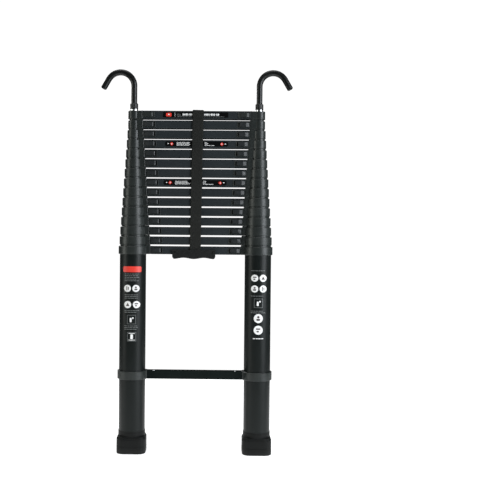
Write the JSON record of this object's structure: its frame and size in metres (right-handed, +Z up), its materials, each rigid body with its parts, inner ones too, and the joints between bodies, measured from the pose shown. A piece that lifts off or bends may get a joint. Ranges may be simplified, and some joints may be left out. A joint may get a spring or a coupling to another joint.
{
  "type": "telescoping ladder",
  "caption": "Closed telescoping ladder: nested round tubes carry a stack of hollow rungs with thumb locks, collars, rubber feet, a carrying grip and strap, and swivelling top hooks.",
  "frame": {"origin": "on the floor, midway between the two feet", "axes": "+Z up along the stiles, +X to the right stile seen from the front, -Y the front with the thumb buttons"},
  "size_m": [0.5964, 0.0914, 1.1924],
  "materials": {
    "black_coat": "black satin coat on drawn aluminium tube",
    "section_coat": "black satin coat on aluminium tubes and rung, black moulded collars",
    "rung_coat": "black satin coat with fine anti-slip lines",
    "black_plastic": "moulded, finely grained",
    "button_plastic": "moulded, slightly worn",
    "nut_plastic": "moulded, finely grained",
    "foot_rubber": "matt black rubber",
    "bright_steel": "bright zinc",
    "hook_steel": "black coat on steel",
    "webbing": "woven dark olive webbing"
  },
  "bodies": {
    "base": {"left_base_tube": "black_coat", "right_base_tube": "black_coat", "left_foot": "foot_rubber", "right_foot": "foot_rubber", "lower_rung": "rung_coat", "lower_rung_collars": "black_plastic", "lower_rung_rivets": "bright_steel", "base_rung": "rung_coat", "base_collars": "black_plastic", "base_grip": "black_plastic", "grip_screws": "hook_steel"},
    "section_02": {"section_02": "section_coat"},
    "section_03": {"section_03": "section_coat"},
    "section_04": {"section_04": "section_coat"},
    "section_05": {"section_05": "section_coat"},
    "section_06": {"section_06": "section_coat"},
    "section_07": {"section_07": "section_coat"},
    "section_08": {"section_08": "section_coat"},
    "section_09": {"section_09": "section_coat"},
    "section_10": {"section_10": "section_coat"},
    "section_11": {"section_11": "section_coat"},
    "section_12": {"section_12": "section_coat"},
    "section_13": {"section_13": "section_coat"},
    "section_14": {"section_14": "section_coat"},
    "section_15": {"section_15": "section_coat", "hook_rings": "bright_steel", "strap": "webbing"},
    "left_thumb_lock_01": {"left_thumb_lock_01": "button_plastic"},
    "left_thumb_lock_02": {"left_thumb_lock_02": "button_plastic"},
    "left_thumb_lock_03": {"left_thumb_lock_03": "button_plastic"},
    "left_thumb_lock_04": {"left_thumb_lock_04": "button_plastic"},
    "left_thumb_lock_05": {"left_thumb_lock_05": "button_plastic"},
    "left_thumb_lock_06": {"left_thumb_lock_06": "button_plastic"},
    "left_thumb_lock_07": {"left_thumb_lock_07": "button_plastic"},
    "left_thumb_lock_08": {"left_thumb_lock_08": "button_plastic"},
    "left_thumb_lock_09": {"left_thumb_lock_09": "button_plastic"},
    "left_thumb_lock_10": {"left_thumb_lock_10": "button_plastic"},
    "left_thumb_lock_11": {"left_thumb_lock_11": "button_plastic"},
    "left_thumb_lock_12": {"left_thumb_lock_12": "button_plastic"},
    "left_thumb_lock_13": {"left_thumb_lock_13": "button_plastic"},
    "left_thumb_lock_14": {"left_thumb_lock_14": "button_plastic"},
    "right_thumb_lock_01": {"right_thumb_lock_01": "button_plastic"},
    "right_thumb_lock_02": {"right_thumb_lock_02": "button_plastic"},
    "right_thumb_lock_03": {"right_thumb_lock_03": "button_plastic"},
    "right_thumb_lock_04": {"right_thumb_lock_04": "button_plastic"},
    "right_thumb_lock_05": {"right_thumb_lock_05": "button_plastic"},
    "right_thumb_lock_06": {"right_thumb_lock_06": "button_plastic"},
    "right_thumb_lock_07": {"right_thumb_lock_07": "button_plastic"},
    "right_thumb_lock_08": {"right_thumb_lock_08": "button_plastic"},
    "right_thumb_lock_09": {"right_thumb_lock_09": "button_plastic"},
    "right_thumb_lock_10": {"right_thumb_lock_10": "button_plastic"},
    "right_thumb_lock_11": {"right_thumb_lock_11": "button_plastic"},
    "right_thumb_lock_12": {"right_thumb_lock_12": "button_plastic"},
    "right_thumb_lock_13": {"right_thumb_lock_13": "button_plastic"},
    "right_thumb_lock_14": {"right_thumb_lock_14": "button_plastic"},
    "left_hook": {"left_hook": "hook_steel"},
    "left_hook_nut": {"left_hook_nut": "nut_plastic"},
    "right_hook": {"right_hook": "hook_steel"},
    "right_hook_nut": {"right_hook_nut": "nut_plastic"}
  },
  "joints": [
    {"name": "left_hook_nut_turn", "type": "hinge", "parent": "left_hook", "child": "left_hook_nut", "pos_m": [-0.195, 0, 1.077], "axis": [0, 0, 1], "continuous": true},
    {"name": "left_hook_swivel", "type": "hinge", "parent": "section_15", "child": "left_hook", "pos_m": [-0.195, 0, 1.065], "axis": [0, 0, 1], "continuous": true},
    {"name": "right_hook_nut_turn", "type": "hinge", "parent": "right_hook", "child": "right_hook_nut", "pos_m": [0.195, 0, 1.077], "axis": [0, 0, 1], "continuous": true},
    {"name": "right_hook_swivel", "type": "hinge", "parent": "section_15", "child": "right_hook", "pos_m": [0.195, 0, 1.065], "axis": [0, 0, 1], "continuous": true},
    {"name": "section_02_slide", "type": "slide", "parent": "base", "child": "section_02", "axis": [0, 0, 1], "range_m": [0, 0.358]},
    {"name": "section_03_slide", "type": "slide", "parent": "section_02", "child": "section_03", "axis": [0, 0, 1], "range_m": [0, 0.358]},
    {"name": "section_04_slide", "type": "slide", "parent": "section_03", "child": "section_04", "axis": [0, 0, 1], "range_m": [0, 0.358]},
    {"name": "section_05_slide", "type": "slide", "parent": "section_04", "child": "section_05", "axis": [0, 0, 1], "range_m": [0, 0.358]},
    {"name": "section_06_slide", "type": "slide", "parent": "section_05", "child": "section_06", "axis": [0, 0, 1], "range_m": [0, 0.358]},
    {"name": "section_07_slide", "type": "slide", "parent": "section_06", "child": "section_07", "axis": [0, 0, 1], "range_m": [0, 0.358]},
    {"name": "section_08_slide", "type": "slide", "parent": "section_07", "child": "section_08", "axis": [0, 0, 1], "range_m": [0, 0.358]},
    {"name": "section_09_slide", "type": "slide", "parent": "section_08", "child": "section_09", "axis": [0, 0, 1], "range_m": [0, 0.358]},
    {"name": "section_10_slide", "type": "slide", "parent": "section_09", "child": "section_10", "axis": [0, 0, 1], "range_m": [0, 0.358]},
    {"name": "section_11_slide", "type": "slide", "parent": "section_10", "child": "section_11", "axis": [0, 0, 1], "range_m": [0, 0.358]},
    {"name": "section_12_slide", "type": "slide", "parent": "section_11", "child": "section_12", "axis": [0, 0, 1], "range_m": [0, 0.358]},
    {"name": "section_13_slide", "type": "slide", "parent": "section_12", "child": "section_13", "axis": [0, 0, 1], "range_m": [0, 0.358]},
    {"name": "section_14_slide", "type": "slide", "parent": "section_13", "child": "section_14", "axis": [0, 0, 1], "range_m": [0, 0.358]},
    {"name": "section_15_slide", "type": "slide", "parent": "section_14", "child": "section_15", "axis": [0, 0, 1], "range_m": [0, 0.358]},
    {"name": "thumb_left_01_press", "type": "slide", "parent": "base", "child": "left_thumb_lock_01", "axis": [1, 0, 0], "range_m": [0, 0.004], "stiffness_N_per_m": 400, "springref_m": -0.012},
    {"name": "thumb_left_02_press", "type": "slide", "parent": "section_02", "child": "left_thumb_lock_02", "axis": [1, 0, 0], "range_m": [0, 0.004], "stiffness_N_per_m": 400, "springref_m": -0.012},
    {"name": "thumb_left_03_press", "type": "slide", "parent": "section_03", "child": "left_thumb_lock_03", "axis": [1, 0, 0], "range_m": [0, 0.004], "stiffness_N_per_m": 400, "springref_m": -0.012},
    {"name": "thumb_left_04_press", "type": "slide", "parent": "section_04", "child": "left_thumb_lock_04", "axis": [1, 0, 0], "range_m": [0, 0.004], "stiffness_N_per_m": 400, "springref_m": -0.012},
    {"name": "thumb_left_05_press", "type": "slide", "parent": "section_05", "child": "left_thumb_lock_05", "axis": [1, 0, 0], "range_m": [0, 0.004], "stiffness_N_per_m": 400, "springref_m": -0.012},
    {"name": "thumb_left_06_press", "type": "slide", "parent": "section_06", "child": "left_thumb_lock_06", "axis": [1, 0, 0], "range_m": [0, 0.004], "stiffness_N_per_m": 400, "springref_m": -0.012},
    {"name": "thumb_left_07_press", "type": "slide", "parent": "section_07", "child": "left_thumb_lock_07", "axis": [1, 0, 0], "range_m": [0, 0.004], "stiffness_N_per_m": 400, "springref_m": -0.012},
    {"name": "thumb_left_08_press", "type": "slide", "parent": "section_08", "child": "left_thumb_lock_08", "axis": [1, 0, 0], "range_m": [0, 0.004], "stiffness_N_per_m": 400, "springref_m": -0.012},
    {"name": "thumb_left_09_press", "type": "slide", "parent": "section_09", "child": "left_thumb_lock_09", "axis": [1, 0, 0], "range_m": [0, 0.004], "stiffness_N_per_m": 400, "springref_m": -0.012},
    {"name": "thumb_left_10_press", "type": "slide", "parent": "section_10", "child": "left_thumb_lock_10", "axis": [1, 0, 0], "range_m": [0, 0.004], "stiffness_N_per_m": 400, "springref_m": -0.012},
    {"name": "thumb_left_11_press", "type": "slide", "parent": "section_11", "child": "left_thumb_lock_11", "axis": [1, 0, 0], "range_m": [0, 0.004], "stiffness_N_per_m": 400, "springref_m": -0.012},
    {"name": "thumb_left_12_press", "type": "slide", "parent": "section_12", "child": "left_thumb_lock_12", "axis": [1, 0, 0], "range_m": [0, 0.004], "stiffness_N_per_m": 400, "springref_m": -0.012},
    {"name": "thumb_left_13_press", "type": "slide", "parent": "section_13", "child": "left_thumb_lock_13", "axis": [1, 0, 0], "range_m": [0, 0.004], "stiffness_N_per_m": 400, "springref_m": -0.012},
    {"name": "thumb_left_14_press", "type": "slide", "parent": "section_14", "child": "left_thumb_lock_14", "axis": [1, 0, 0], "range_m": [0, 0.004], "stiffness_N_per_m": 400, "springref_m": -0.012},
    {"name": "thumb_right_01_press", "type": "slide", "parent": "base", "child": "right_thumb_lock_01", "axis": [-1, 0, 0], "range_m": [0, 0.004], "stiffness_N_per_m": 400, "springref_m": -0.012},
    {"name": "thumb_right_02_press", "type": "slide", "parent": "section_02", "child": "right_thumb_lock_02", "axis": [-1, 0, 0], "range_m": [0, 0.004], "stiffness_N_per_m": 400, "springref_m": -0.012},
    {"name": "thumb_right_03_press", "type": "slide", "parent": "section_03", "child": "right_thumb_lock_03", "axis": [-1, 0, 0], "range_m": [0, 0.004], "stiffness_N_per_m": 400, "springref_m": -0.012},
    {"name": "thumb_right_04_press", "type": "slide", "parent": "section_04", "child": "right_thumb_lock_04", "axis": [-1, 0, 0], "range_m": [0, 0.004], "stiffness_N_per_m": 400, "springref_m": -0.012},
    {"name": "thumb_right_05_press", "type": "slide", "parent": "section_05", "child": "right_thumb_lock_05", "axis": [-1, 0, 0], "range_m": [0, 0.004], "stiffness_N_per_m": 400, "springref_m": -0.012},
    {"name": "thumb_right_06_press", "type": "slide", "parent": "section_06", "child": "right_thumb_lock_06", "axis": [-1, 0, 0], "range_m": [0, 0.004], "stiffness_N_per_m": 400, "springref_m": -0.012},
    {"name": "thumb_right_07_press", "type": "slide", "parent": "section_07", "child": "right_thumb_lock_07", "axis": [-1, 0, 0], "range_m": [0, 0.004], "stiffness_N_per_m": 400, "springref_m": -0.012},
    {"name": "thumb_right_08_press", "type": "slide", "parent": "section_08", "child": "right_thumb_lock_08", "axis": [-1, 0, 0], "range_m": [0, 0.004], "stiffness_N_per_m": 400, "springref_m": -0.012},
    {"name": "thumb_right_09_press", "type": "slide", "parent": "section_09", "child": "right_thumb_lock_09", "axis": [-1, 0, 0], "range_m": [0, 0.004], "stiffness_N_per_m": 400, "springref_m": -0.012},
    {"name": "thumb_right_10_press", "type": "slide", "parent": "section_10", "child": "right_thumb_lock_10", "axis": [-1, 0, 0], "range_m": [0, 0.004], "stiffness_N_per_m": 400, "springref_m": -0.012},
    {"name": "thumb_right_11_press", "type": "slide", "parent": "section_11", "child": "right_thumb_lock_11", "axis": [-1, 0, 0], "range_m": [0, 0.004], "stiffness_N_per_m": 400, "springref_m": -0.012},
    {"name": "thumb_right_12_press", "type": "slide", "parent": "section_12", "child": "right_thumb_lock_12", "axis": [-1, 0, 0], "range_m": [0, 0.004], "stiffness_N_per_m": 400, "springref_m": -0.012},
    {"name": "thumb_right_13_press", "type": "slide", "parent": "section_13", "child": "right_thumb_lock_13", "axis": [-1, 0, 0], "range_m": [0, 0.004], "stiffness_N_per_m": 400, "springref_m": -0.012},
    {"name": "thumb_right_14_press", "type": "slide", "parent": "section_14", "child": "right_thumb_lock_14", "axis": [-1, 0, 0], "range_m": [0, 0.004], "stiffness_N_per_m": 400, "springref_m": -0.012}
  ]
}
